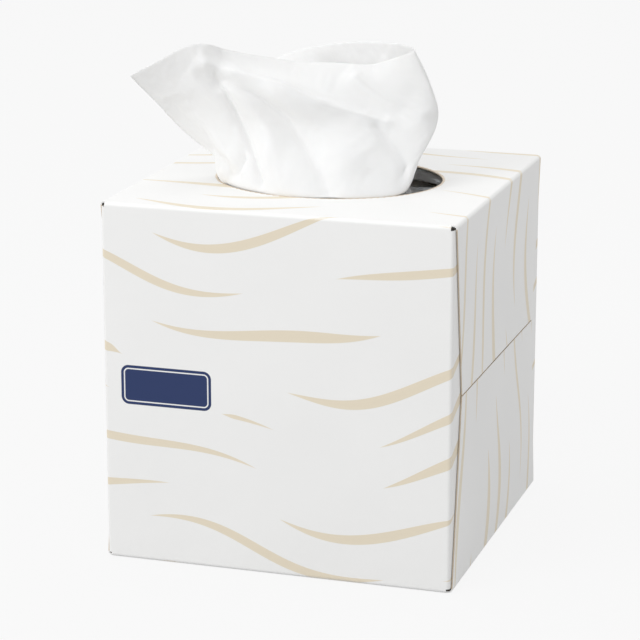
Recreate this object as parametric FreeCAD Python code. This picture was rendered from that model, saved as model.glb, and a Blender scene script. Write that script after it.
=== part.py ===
"""A cube tissue box: a folded paperboard carton with an oval opening in its top, a clear film with a slit
behind the opening, the pack of interfolded tissues inside, and one tissue pulled part of the way out.

The row frame is in millimetres: +Z up, +Y to the back, X from left to right as the front is seen.
The origin is the centre of the carton's base.
"""

import FreeCAD, Part
import math
import os

from FreeCAD import Vector

# Carton: one blank of paperboard, folded and glued
carton_width = 118.0
carton_depth = 118.0
carton_height = 120.0
board = 0.45
fold_radius = 1.2
layer_gap = 0.15
glue_flap_reach = 16.0
bottom_edge_inset = 0.3
dust_flap_reach = 45.0
dust_flap_clearance = 0.3
seam_height = 63.0
seam_gap = 0.5
closing_flap_inset = 1.4
closing_flap_taper = 9.0

# Oval opening in the top panel
opening_length = 76.0
opening_width = 66.0

# Clear film glued behind the opening, with a slit that the raised tissue holds open
film_thickness = 0.05
film_glue_line = 0.05
film_border = 9.0
film_lift = 3.2
film_dome_margin = 1.5
slit_end_margin = 1.0
slit_width = 17.0

# Pack of interfolded tissues, bent over into an arch that stands on its innermost sheets
pack_thickness = 28.0
pack_side_room = 1.95
pack_end_room = 6.55
pack_headroom = 6.9
crown_flat = 2.0
pack_foot = 2.0

# Raised tissue: its room to the slit, and the skirt that runs down to the pack and out over it
tissue_thickness = 0.4
room_left_in_slit = 2.5
room_right_in_slit = 8.6
room_beside_slit = 3.2
slit_rise = 0.3
lip_up = 4.5
lip_spread = 1.02
lip_overhang = 1.0
lip_rise = 1.0
skirt_length = 32.0
skirt_clearance = 0.5
neck_length = 8.0
neck_rise = 1.6
neck_spread = 1.12
neck_half_depth = 10.0
skirt_spread = 1.3
skirt_half_depth = 26.0

# Places that follow from the sizes above
half_width = carton_width / 2
half_depth = carton_depth / 2
dust_face = half_width - board - layer_gap
panel_end = dust_face - fold_radius
glue_flap_bottom = board + layer_gap
floor_height = glue_flap_bottom + board
film_top = carton_height - board - film_glue_line
film_length = opening_length + 2 * film_border
film_width = opening_width + 2 * film_border
slit_length = opening_length - 2 * slit_end_margin
pack_half_width = dust_face - board - pack_side_room
pack_depth = carton_depth - 2 * (board + pack_end_room)
arch_outer_radius = pack_half_width - crown_flat / 2
arch_inner_radius = arch_outer_radius - pack_thickness
arch_centre_height = film_top - film_thickness - pack_headroom - arch_outer_radius
inner_leg = arch_centre_height - floor_height
sheet_width = crown_flat + math.pi * arch_inner_radius + 2 * inner_leg
outer_leg = (sheet_width - crown_flat - math.pi * arch_outer_radius) / 2


def rounded_path(points, radius):
    """Edges along the points, with a tangent arc of the radius at each inner square corner."""
    edges = []
    start = points[0]
    for before, corner, after in zip(points, points[1:], points[2:]):
        back = (before - corner).normalize()
        ahead = (after - corner).normalize()
        arc_start = corner + back * radius
        arc_end = corner + ahead * radius
        middle = corner + (back + ahead) * (radius * (1 - math.sqrt(0.5)))
        edges.append(Part.LineSegment(start, arc_start).toShape())
        edges.append(Part.Arc(arc_start, middle, arc_end).toShape())
        start = arc_end
    edges.append(Part.LineSegment(start, points[-1]).toShape())
    return edges


def folded_board(outside, inside, sweep):
    """One run of board through its folds: outside and inside are the corners of its two faces."""
    outer = rounded_path(outside, fold_radius)
    inner = rounded_path(inside, fold_radius - board)
    ends = [
        Part.LineSegment(outside[-1], inside[-1]).toShape(),
        Part.LineSegment(inside[0], outside[0]).toShape(),
    ]
    outline = Part.Wire(Part.__sortEdges__(outer + inner + ends))
    return Part.Face(outline).extrude(sweep)


def prism(points, sweep):
    """A flat polygon swept into a solid."""
    return Part.Face(Part.makePolygon(points + [points[0]])).extrude(sweep)


def oval_prism(length, width, bottom, top):
    """An upright elliptical column centred on the Z axis."""
    ellipse = Part.Ellipse(Vector(0, 0, bottom), length / 2, width / 2)
    return Part.Face(Part.Wire(ellipse.toShape())).extrude(Vector(0, 0, top - bottom))


def mirrored(shape, normal):
    """The shape's mirror image in the plane through the origin with that normal."""
    return shape.mirror(Vector(0, 0, 0), normal)


def carton_wrap():
    """Glue flap, back, top, front and bottom panels: one strip folded round the X axis."""
    left = -panel_end
    outside = [
        Vector(left, half_depth - glue_flap_reach, glue_flap_bottom),
        Vector(left, half_depth, glue_flap_bottom),
        Vector(left, half_depth, carton_height),
        Vector(left, -half_depth, carton_height),
        Vector(left, -half_depth, 0),
        Vector(left, half_depth - bottom_edge_inset, 0),
    ]
    inside = [
        Vector(left, half_depth - glue_flap_reach, glue_flap_bottom + board),
        Vector(left, half_depth - board, glue_flap_bottom + board),
        Vector(left, half_depth - board, carton_height - board),
        Vector(left, -half_depth + board, carton_height - board),
        Vector(left, -half_depth + board, board),
        Vector(left, half_depth - bottom_edge_inset, board),
    ]
    return folded_board(outside, inside, Vector(2 * panel_end, 0, 0))


def closing_flap(panel_height, free_edge_height):
    """The right-hand closing flap that folds from the top or bottom panel, narrowing to its free edge."""
    inward = -board if panel_height > free_edge_height else board
    start = -half_depth
    outside = [
        Vector(panel_end, start, panel_height),
        Vector(half_width, start, panel_height),
        Vector(half_width, start, free_edge_height),
    ]
    inside = [
        Vector(panel_end, start, panel_height + inward),
        Vector(half_width - board, start, panel_height + inward),
        Vector(half_width - board, start, free_edge_height),
    ]
    strip = folded_board(outside, inside, Vector(0, carton_depth, 0))
    at_fold = half_depth - closing_flap_inset
    at_edge = at_fold - closing_flap_taper
    outline = [
        Vector(0, -at_fold, panel_height),
        Vector(0, at_fold, panel_height),
        Vector(0, at_edge, free_edge_height),
        Vector(0, -at_edge, free_edge_height),
    ]
    return strip.common(prism(outline, Vector(carton_width, 0, 0)))


def dust_flap():
    """The right-hand dust flap that folds in from the front panel, behind the closing flaps."""
    low = fold_radius + dust_flap_clearance
    outside = [
        Vector(panel_end - board, -half_depth, low),
        Vector(dust_face, -half_depth, low),
        Vector(dust_face, -half_depth + dust_flap_reach, low),
    ]
    inside = [
        Vector(panel_end - board, -half_depth + board, low),
        Vector(dust_face - board, -half_depth + board, low),
        Vector(dust_face - board, -half_depth + dust_flap_reach, low),
    ]
    return folded_board(outside, inside, Vector(0, 0, carton_height - 2 * low))


def carton():
    """The whole carton: the wrap, four dust flaps and four closing flaps, with the oval opening cut out."""
    front_dust = dust_flap()
    right_end = [
        closing_flap(carton_height, seam_height + seam_gap / 2),
        closing_flap(0, seam_height - seam_gap / 2),
        front_dust,
        mirrored(front_dust, Vector(0, 1, 0)),
    ]
    left_end = [mirrored(piece, Vector(1, 0, 0)) for piece in right_end]
    body = carton_wrap().multiFuse(right_end + left_end)
    below_panel = carton_height - 2 * board
    opening = oval_prism(opening_length, opening_width, below_panel, carton_height + board)
    return body.cut(opening).removeSplitter().Solids[0]


def film_height(x, y):
    """How far the film's lips are raised at a point of its plane."""
    dome_length = opening_length / 2 - film_dome_margin
    dome_width = opening_width / 2 - film_dome_margin
    distance = math.hypot(x / dome_length, y / dome_width)
    return film_lift * math.cos(min(distance, 1.0) * math.pi / 2) ** 2


def dispensing_film():
    """The clear film: flat where it is glued, raised along the slit, which is open in an eye shape."""
    columns, rows = 33, 27
    grid = []
    for i in range(columns):
        x = film_length * (i / (columns - 1) - 0.5)
        row = []
        for j in range(rows):
            y = film_width * (j / (rows - 1) - 0.5)
            row.append(Vector(x, y, film_top + film_height(x, y)))
        grid.append(row)
    surface = Part.BSplineSurface()
    surface.interpolate(grid)
    sheet = surface.toShape().extrude(Vector(0, 0, -film_thickness))
    slit = oval_prism(slit_length, slit_width, film_top - film_lift, film_top + 2 * film_lift)
    return sheet.cut(slit).Solids[0]


def arch_surface(x):
    """Height of the pack's outer face at x."""
    beyond = min(max(abs(x) - crown_flat / 2, 0.0), arch_outer_radius)
    return arch_centre_height + math.sqrt(arch_outer_radius**2 - beyond**2)


def half_arch(radius, side):
    """The arc over one shoulder of the arch, with its ends at the crown and at the top of the leg."""
    centre = Vector(side * crown_flat / 2, 0, arch_centre_height)
    crown = centre + Vector(0, 0, radius)
    middle = centre + Vector(side, 0, 1) * (radius * math.sqrt(0.5))
    leg_top = centre + Vector(side * radius, 0, 0)
    return Part.Arc(crown, middle, leg_top).toShape(), crown, leg_top


def tissue_stack():
    """The pack of interfolded tissues: each sheet is as long as the next, so the outer ends hang higher."""
    edges = []
    crowns = []
    for side in (1, -1):
        outer_arc, outer_crown, outer_top = half_arch(arch_outer_radius, side)
        inner_arc, inner_crown, inner_top = half_arch(arch_inner_radius, side)
        tip = Vector(inner_top.x, 0, floor_height)
        heel = tip + Vector(side * pack_foot, 0, 0)
        outer_end = outer_top - Vector(0, 0, outer_leg)
        corners = [outer_top, outer_end, heel, tip, inner_top]
        edges += [outer_arc, inner_arc]
        edges += [Part.LineSegment(a, b).toShape() for a, b in zip(corners, corners[1:])]
        crowns.append((outer_crown, inner_crown))
    for right, left in zip(*crowns):
        edges.append(Part.LineSegment(right, left).toShape())
    outline = Part.Wire(Part.__sortEdges__(edges))
    pack = Part.Face(outline).extrude(Vector(0, pack_depth, 0))
    pack.translate(Vector(0, -pack_depth / 2, 0))
    return pack


# The raised tissue is a sheet with one corner at the left and its width run round a bend at the right.
# Across is the distance along its width from that corner, in shares of the width here.
# Up is the distance above the slit. The points' heights are above the carton's top.
rib_across = [0, 0.055, 0.12, 0.23, 0.34, 0.42, 0.505, 0.595, 0.705, 0.815, 0.905, 1]

# Free edge, from the front left corner round the bend at the right to the rear corner
edge_up = 72.0
edge_points = [
    (-55.7, -38.0, 37.4),
    (-48.2, -32.0, 41.8),
    (-39.0, -24.0, 46.4),
    (-21.0, -13.0, 43.8),
    (-1.0, -3.0, 40.0),
    (13.0, 0.5, 38.8),
    (30.0, -5.0, 44.8),
    (18.0, 11.0, 44.4),
    (-2.0, 19.0, 42.4),
    (-22.0, 26.0, 37.0),
    (-37.0, 33.0, 30.0),
    (-50.0, 41.0, 23.0),
]

# Shoulder, where the front ridge turns over
shoulder_up = 58.0
shoulder_points = [
    (-51.5, -29.0, 28.0),
    (-45.0, -27.0, 31.0),
    (-37.0, -24.5, 33.5),
    (-19.5, -20.5, 32.5),
    (0.5, -15.5, 29.5),
    (16.5, -5.0, 30.0),
    (34.5, -1.5, 33.0),
    (21.5, 11.0, 33.0),
    (2.5, 16.5, 32.0),
    (-16.0, 20.5, 29.0),
    (-30.0, 25.0, 24.0),
    (-43.0, 31.0, 19.0),
]

# Waist, halfway up
waist_up = 44.0
waist_points = [
    (-47.1, -20.0, 18.7),
    (-41.0, -21.0, 20.0),
    (-33.5, -21.5, 20.5),
    (-17.0, -19.5, 20.0),
    (2.0, -17.0, 19.0),
    (20.0, -12.0, 19.0),
    (36.2, 1.0, 21.0),
    (24.0, 10.0, 21.0),
    (6.0, 13.0, 20.0),
    (-11.0, 15.0, 18.0),
    (-24.0, 18.0, 16.0),
    (-35.0, 22.0, 13.0),
]

# Rise, where the tissue turns up beside the opening's rim
rise_up = 31.0
rise_points = [
    (-41.0, -11.5, 10.0),
    (-37.0, -16.0, 8.0),
    (-30.0, -22.5, 7.5),
    (-15.0, -28.8, 7.2),
    (3.0, -29.0, 7.2),
    (19.0, -24.0, 7.4),
    (33.4, -11.5, 8.2),
    (24.5, 9.0, 8.5),
    (7.0, 14.5, 8.5),
    (-9.0, 16.0, 8.5),
    (-23.0, 15.0, 8.5),
    (-33.0, 17.0, 7.0),
]

# Lap, where it rests on the film inside the rim
lap_up = 24.0
lap_points = [
    (-36.3, -4.5, 3.4),
    (-33.6, -11.5, 1.2),
    (-27.8, -19.6, 0.9),
    (-13.0, -28.9, 0.5),
    (3.0, -31.0, 0.35),
    (18.0, -27.2, 0.4),
    (30.2, -16.2, 0.9),
    (24.0, 11.0, 2.6),
    (8.0, 17.0, 2.4),
    (-8.0, 18.5, 2.4),
    (-22.0, 16.0, 2.6),
    (-32.0, 12.0, 3.0),
]

# Folds across the sheet: start and end as (share across, up), width, and depth, inwards if negative
folds = [
    ((0.15, 66), (0.40, 20), 7.0, -3.0),
    ((0.02, 28), (0.09, 27), 4.5, 1.8),
    ((0.42, 50), (0.48, 28), 5.0, -2.4),
    ((0.11, 48), (0.17, 27), 4.0, -2.0),
    ((0.23, 62), (0.46, 52), 6.0, 2.0),
    ((0.62, 60), (0.56, 28), 6.0, -2.2),
    ((0.75, 56), (0.70, 30), 7.0, 2.4),
    ((0.86, 54), (0.80, 28), 6.0, -2.2),
]

# How far round the loop the sheet has turned at the slit, in degrees, by its share across
slit_turn = [(0, -20.0), (0.06, 0.0), (0.51, 180.0), (1, 335.0)]


def straight(table, at):
    """Straight-line interpolation in a table of (place, value) pairs."""
    for (a, low), (b, high) in zip(table, table[1:]):
        if at <= b:
            return low + (high - low) * (at - a) / (b - a)
    return table[-1][1]


def smooth(places, values, at):
    """A smooth curve through the values at the places, read at one place."""
    last = len(places) - 1
    slopes = []
    for i in range(last + 1):
        a, b = max(i - 1, 0), min(i + 1, last)
        slopes.append((values[b] - values[a]) * (1.0 / (places[b] - places[a])))
    i = 0
    while i < last - 1 and at > places[i + 1]:
        i += 1
    gap = places[i + 1] - places[i]
    u = (at - places[i]) / gap
    start = values[i] * (2 * u**3 - 3 * u**2 + 1) + slopes[i] * (gap * (u**3 - 2 * u**2 + u))
    end = values[i + 1] * (3 * u**2 - 2 * u**3) + slopes[i + 1] * (gap * (u**3 - u**2))
    return start + end


def flat_loop(across, spread, half_depth_here):
    """X and Y of a point on the flattened loop that the tissue makes in the slit."""
    left = room_left_in_slit - slit_length / 2
    right = slit_length / 2 - room_right_in_slit
    turn = math.radians(straight(slit_turn, across))
    x = (left + right) / 2 - (right - left) / 2 * spread * math.cos(turn)
    return x, -half_depth_here * math.sin(turn)


def skirt_point(across, up):
    """A point of the skirt, which runs out over the pack, or of the neck between pack and slit."""
    above_pack = skirt_clearance + tissue_thickness / 2
    spread = straight([(-skirt_length, skirt_spread), (-neck_length, neck_spread)], up)
    half_depth_here = straight([(-skirt_length, skirt_half_depth), (-neck_length, neck_half_depth)], up)
    rise = straight([(-skirt_length, above_pack), (-neck_length, neck_rise)], up)
    x, y = flat_loop(across, spread, half_depth_here)
    return Vector(x, y, arch_surface(x) + rise)


def film_point(across, spread, half_depth_here, rise):
    """A point of the loop where it passes the film's lips, at a height above the film."""
    x, y = flat_loop(across, spread, half_depth_here)
    return Vector(x, y, film_top + film_height(x, y) + rise)


def unfolded_point(across, up):
    """The tissue's surface before its folds are pressed in."""
    steps = 3
    step = (skirt_length - neck_length) / steps
    places = [-skirt_length + step * k for k in range(steps + 1)]
    values = [skirt_point(across, place) for place in places]
    places += [0.0, lip_up]
    values.append(film_point(across, 1.0, slit_width / 2 - room_beside_slit, slit_rise))
    values.append(film_point(across, lip_spread, slit_width / 2 + lip_overhang, lip_rise))
    top = Vector(0, 0, carton_height)
    for place, points in (
        (lap_up, lap_points),
        (rise_up, rise_points),
        (waist_up, waist_points),
        (shoulder_up, shoulder_points),
        (edge_up, edge_points),
    ):
        places.append(place)
        values.append(top + smooth(rib_across, [Vector(*point) for point in points], across))
    return smooth(places, values, up)


def outward(across, up):
    """The unit vector that points away from the inside of the tissue's loop."""
    side_step, up_step = 0.005, 1.0
    right, left = min(across + side_step, 1.0), max(across - side_step, 0.0)
    high, low = min(up + up_step, edge_up), max(up - up_step, -skirt_length)
    along = unfolded_point(right, up) - unfolded_point(left, up)
    rise = unfolded_point(across, high) - unfolded_point(across, low)
    return along.cross(rise).normalize()


def fold_depth(across, up):
    """How far the folds move the surface outwards at a point."""
    depth = 0.0
    for (share0, up0), (share1, up1), width, height in folds:
        run, rise = (share1 - share0) * sheet_width, up1 - up0
        ahead, above = (across - share0) * sheet_width, up - up0
        part = min(max((ahead * run + above * rise) / (run**2 + rise**2), 0.0), 1.0)
        distance = math.hypot(ahead - part * run, above - part * rise)
        depth += height * math.exp(-((distance / width) ** 2))
    return depth


def tissue_point(across, up, offset):
    """A point of the tissue, offset from its middle surface."""
    normal = outward(across, up)
    return unfolded_point(across, up) + normal * (fold_depth(across, up) + offset)


def quad(a, b, c, d):
    """The two triangles between four corners."""
    return [(a, b, c), (a, c, d)]


def raised_tissue():
    """The tissue that stands out of the slit: a thin closed solid of flat facets that follow its folds."""
    columns, rows = 48, 24
    outer, inner = tissue_thickness / 2, -tissue_thickness / 2
    points = []
    for offset in (outer, inner):
        for i in range(columns + 1):
            for j in range(rows + 1):
                up = -skirt_length + (edge_up + skirt_length) * j / rows
                points.append(tissue_point(i / columns, up, offset))
    per_side = (columns + 1) * (rows + 1)
    facets = []
    for i in range(columns):
        for j in range(rows):
            here = i * (rows + 1) + j
            beside = here + rows + 1
            facets += quad(here, beside, beside + 1, here + 1)
            back = here + per_side
            back_beside = beside + per_side
            facets += quad(back, back + 1, back_beside + 1, back_beside)
    rim = [i * (rows + 1) for i in range(columns + 1)]
    rim += [columns * (rows + 1) + j for j in range(1, rows + 1)]
    rim += [i * (rows + 1) + rows for i in range(columns - 1, -1, -1)]
    rim += list(range(rows - 1, -1, -1))
    for a, b in zip(rim, rim[1:]):
        facets += quad(b, a, a + per_side, b + per_side)
    sheet = Part.Shape()
    sheet.makeShapeFromMesh((points, facets), 0.001)
    return Part.Solid(Part.Shell(sheet.Faces))


def main():
    """Build each piece and write it to its own file."""
    os.makedirs("parts", exist_ok=True)
    pieces = {
        "carton": carton(),
        "dispensing_film": dispensing_film(),
        "tissue_stack": tissue_stack(),
        "raised_tissue": raised_tissue(),
    }
    for name, shape in pieces.items():
        shape.exportStep(f"parts/{name}.step")
        box = shape.BoundBox
        print(name, shape.ShapeType, "valid", shape.isValid(), round(shape.Volume), "mm3")
        print("  from", round(box.XMin, 2), round(box.YMin, 2), round(box.ZMin, 2), end=" ")
        print("to", round(box.XMax, 2), round(box.YMax, 2), round(box.ZMax, 2))


main()
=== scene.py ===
"""The looks of a cube tissue box: printed carton, clear film, pack of tissues and one tissue pulled up.

Lengths are in metres in the part's own frame: +Z up, +Y to the back, and X from left to right as the front
is seen. Values whose name ends in _mm are in millimetres, as are the patterns inside the materials.
"""

import logging
import math
from dataclasses import dataclass, field
from enum import Enum
from typing import NamedTuple

import bpy
import numpy as np
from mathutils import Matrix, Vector


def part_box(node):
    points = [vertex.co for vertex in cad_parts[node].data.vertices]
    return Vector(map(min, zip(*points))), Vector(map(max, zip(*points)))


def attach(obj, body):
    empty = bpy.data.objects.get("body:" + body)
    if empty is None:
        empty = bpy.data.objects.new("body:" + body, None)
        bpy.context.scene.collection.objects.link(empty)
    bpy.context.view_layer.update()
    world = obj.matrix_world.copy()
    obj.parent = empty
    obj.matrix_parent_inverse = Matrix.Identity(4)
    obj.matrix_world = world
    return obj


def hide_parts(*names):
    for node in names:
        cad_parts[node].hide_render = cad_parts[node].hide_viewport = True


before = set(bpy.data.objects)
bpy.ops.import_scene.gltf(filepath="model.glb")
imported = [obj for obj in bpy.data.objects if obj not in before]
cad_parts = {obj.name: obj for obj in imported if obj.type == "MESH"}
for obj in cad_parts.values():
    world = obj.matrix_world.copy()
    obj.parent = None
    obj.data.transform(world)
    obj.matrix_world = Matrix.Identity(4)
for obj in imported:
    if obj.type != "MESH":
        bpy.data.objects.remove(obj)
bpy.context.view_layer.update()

log = logging.getLogger("tissue_box")

MM = 0.001
ROOT = "root"
WHITE = (1.0, 1.0, 1.0)
Socket = bpy.types.NodeSocket
Colour = tuple[float, float, float]
Outline = tuple[tuple[float, float, float], ...]


class Slot(Enum):
    """The material slots."""

    BOARD = "board"
    FILM = "film"
    TISSUE = "tissue"


class Number:
    """A number that runs through a node tree. Arithmetic on it adds Math nodes."""

    def __init__(self, graph: "Graph", socket: Socket) -> None:
        """Keep the number.

        Args:
            graph: The graph that it runs through.
            socket: The output that gives it.
        """
        self.graph = graph
        self.socket = socket

    def __add__(self, other: "Value") -> "Number":
        """The sum of both."""
        return self.graph.math("ADD", self, other)

    def __sub__(self, other: "Value") -> "Number":
        """This less the other."""
        return self.graph.math("SUBTRACT", self, other)

    def __rsub__(self, other: "Value") -> "Number":
        """The other less this."""
        return self.graph.math("SUBTRACT", other, self)

    def __mul__(self, other: "Value") -> "Number":
        """The product of both."""
        return self.graph.math("MULTIPLY", self, other)

    def __truediv__(self, other: "Value") -> "Number":
        """This divided by the other."""
        return self.graph.math("DIVIDE", self, other)

    def __gt__(self, other: "Value") -> "Number":
        """1 where this is above the other, else 0."""
        return self.graph.math("GREATER_THAN", self, other)

    def __lt__(self, other: "Value") -> "Number":
        """1 where this is below the other, else 0."""
        return self.graph.math("LESS_THAN", self, other)

    def __abs__(self) -> "Number":
        """The number without its sign."""
        return self.graph.math("ABSOLUTE", self)

    __radd__ = __add__
    __rmul__ = __mul__


Value = float | tuple | Socket | Number


class Axes(NamedTuple):
    """The three parts of a position or a direction."""

    x: Number
    y: Number
    z: Number


class Graph:
    """Adds nodes to one node tree and links them."""

    def __init__(self, tree: bpy.types.NodeTree) -> None:
        """Keep the tree.

        Args:
            tree: The shader or geometry node tree to add to.
        """
        self.tree = tree

    def put(self, socket: Socket, value: Value) -> None:
        """Link a socket to another socket, or set its own value.

        Args:
            socket: The input to fill.
            value: Another node's output, a number, a vector or a colour.
        """
        value = value.socket if isinstance(value, Number) else value
        if isinstance(value, bpy.types.NodeSocket):
            self.tree.links.new(value, socket)
        else:
            socket.default_value = value

    def add(self, kind: str, inputs: dict | None = None, **settings: object) -> bpy.types.Node:
        """Add a node.

        Args:
            kind: The node's type.
            inputs: Input names or numbers, and what to fill them with.
            settings: The node's own properties.

        Returns:
            The new node.
        """
        node = self.tree.nodes.new(kind)
        for name, value in settings.items():
            setattr(node, name, value)
        for key, value in (inputs or {}).items():
            self.put(node.inputs[key], value)
        return node

    def math(self, operation: str, *values: Value, clamp: bool = False) -> Number:
        """Add a Math node.

        Args:
            operation: The operation's name.
            values: Its inputs in order.
            clamp: Whether the result is held between 0 and 1.

        Returns:
            The result.
        """
        node = self.add("ShaderNodeMath", dict(enumerate(values)), operation=operation, use_clamp=clamp)
        return Number(self, node.outputs[0])

    def larger(self, a: Value, b: Value) -> Number:
        """The larger of two numbers."""
        return self.math("MAXIMUM", a, b)

    def smaller(self, a: Value, b: Value) -> Number:
        """The smaller of two numbers."""
        return self.math("MINIMUM", a, b)

    def length(self, a: Number, b: Number) -> Number:
        """The length of a flat vector."""
        return self.math("SQRT", a * a + b * b)

    def choose(self, factor: Value, if_zero: Value, if_one: Value) -> Number:
        """A number between two, by a factor from 0 to 1."""
        difference = self.math("SUBTRACT", if_one, if_zero)
        return self.math("MULTIPLY_ADD", difference, factor, if_zero)

    def step(self, value: Value, low: float, high: float) -> Number:
        """A smooth step from 0 to 1.

        Args:
            value: The number to compare.
            low: Where the step is at 0.
            high: Where the step is at 1.

        Returns:
            The step.
        """
        inputs = {0: value, 1: low, 2: high, 3: 0.0, 4: 1.0}
        node = self.add("ShaderNodeMapRange", inputs, interpolation_type="SMOOTHSTEP")
        return Number(self, node.outputs[0])

    def blend(self, factor: Value, a: Value, b: Value) -> Socket:
        """A colour between two, by a factor from 0 to 1."""
        return self.add("ShaderNodeMix", {0: factor, 6: a, 7: b}, data_type="RGBA").outputs[2]

    def scaled(self, vector: Socket, factor: float) -> Socket:
        """A vector times a number."""
        return self.add("ShaderNodeVectorMath", {0: vector, "Scale": factor}, operation="SCALE").outputs[0]

    def split(self, vector: Socket) -> Axes:
        """The three parts of a vector."""
        outputs = self.add("ShaderNodeSeparateXYZ", {0: vector}).outputs
        return Axes(*(Number(self, output) for output in outputs))

    def join(self, x: Value, y: Value, z: Value) -> Socket:
        """A vector of three numbers."""
        return self.add("ShaderNodeCombineXYZ", {0: x, 1: y, 2: z}).outputs[0]

    def noise(self, vector: Value, scale: Value, detail: float = 2.0, roughness: float = 0.5) -> Number:
        """Smooth noise from 0 to 1 at a position."""
        inputs = {"Vector": vector, "Scale": scale, "Detail": detail, "Roughness": roughness}
        return Number(self, self.add("ShaderNodeTexNoise", inputs).outputs[0])

    def bump(self, shader: bpy.types.Node, strength: float, distance: float, height: Number) -> None:
        """Give a shader a relief, whose distance is in metres."""
        node = self.add("ShaderNodeBump", {"Strength": strength, "Distance": distance, "Height": height})
        self.put(shader.inputs["Normal"], node.outputs[0])

    def seen(self) -> Number:
        """Whether the camera sees a point, straight on or by way of gloss or glass.

        Returns:
            1 for such rays, and 0 for others.
        """
        path = self.add("ShaderNodeLightPath").outputs
        mirrored = self.larger(path["Is Glossy Ray"], path["Is Transmission Ray"])
        return self.larger(path["Is Camera Ray"], mirrored)


def rgba(colour: Colour, share: float = 1.0) -> tuple[float, float, float, float]:
    """The colour, or a darker share of it, with an alpha of 1."""
    return (*(share * part for part in colour), 1.0)


class Effects:
    """Surface effects that several finishes share, each built once as a node group."""

    def __init__(self) -> None:
        """Build the groups."""
        self.fibre = self.build_fibre()

    def build_fibre(self) -> bpy.types.NodeTree:
        """Paper fibre: a fine random felt with a slow, broad unevenness.

        Returns:
            The node group, which takes a position in millimetres.
        """
        tree = bpy.data.node_groups.new("paper_fibre", "ShaderNodeTree")
        for name, kind in (("Position", "Vector"), ("Fineness", "Float"), ("Breadth", "Float")):
            tree.interface.new_socket(name=name, in_out="INPUT", socket_type=f"NodeSocket{kind}")
        for name in ("Height", "Tone"):
            tree.interface.new_socket(name=name, in_out="OUTPUT", socket_type="NodeSocketFloat")
        graph = Graph(tree)
        given = graph.add("NodeGroupInput").outputs
        fine = graph.noise(given["Position"], given["Fineness"], detail=6.0, roughness=0.62)
        broad = graph.noise(given["Position"], given["Breadth"], detail=2.0, roughness=0.45)
        graph.add("NodeGroupOutput", {"Height": fine, "Tone": broad})
        return tree

    def add_fibre(
        self, graph: Graph, position: Socket, fineness: float, breadth: float
    ) -> tuple[Number, Number]:
        """Place the fibre group in a material.

        Args:
            graph: The material's graph.
            position: The position in millimetres.
            fineness: Scale of the fine felt, per millimetre.
            breadth: Scale of the broad unevenness, per millimetre.

        Returns:
            The felt's height and the broad tone, both from 0 to 1.
        """
        inputs = {"Position": position, "Fineness": fineness, "Breadth": breadth}
        outputs = graph.add("ShaderNodeGroup", inputs, node_tree=self.fibre).outputs
        return Number(graph, outputs["Height"]), Number(graph, outputs["Tone"])


def new_material(name: str) -> tuple[bpy.types.Material, Graph, bpy.types.Node]:
    """Make a material with a Principled shader.

    Args:
        name: The material's name.

    Returns:
        The material, its graph and its shader.
    """
    material = bpy.data.materials.new(name)
    material.use_nodes = True
    material.node_tree.nodes.clear()
    graph = Graph(material.node_tree)
    shader = graph.add("ShaderNodeBsdfPrincipled")
    graph.add("ShaderNodeOutputMaterial", {"Surface": shader.outputs[0]})
    return material, graph, shader


def position_mm(graph: Graph) -> tuple[Socket, Socket]:
    """The object's coordinates in millimetres, and its normal."""
    coordinates = graph.add("ShaderNodeTexCoord").outputs
    return graph.scaled(coordinates["Object"], 1 / MM), coordinates["Normal"]


@dataclass(frozen=True)
class CartonSizes:
    """The carton's sizes in millimetres, read from its CAD node where they can be."""

    half_width_mm: float
    half_depth_mm: float
    height_mm: float
    board_mm: float = 0.45
    fold_mm: float = 1.2
    dust_face_mm: float = 0.6
    seam_mm: float = 63.0
    opening_x_mm: float = 38.0
    opening_y_mm: float = 33.0

    @classmethod
    def from_frame(cls) -> "CartonSizes":
        """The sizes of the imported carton."""
        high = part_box("carton")[1]
        return cls(high.x / MM, high.y / MM, high.z / MM)


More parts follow.
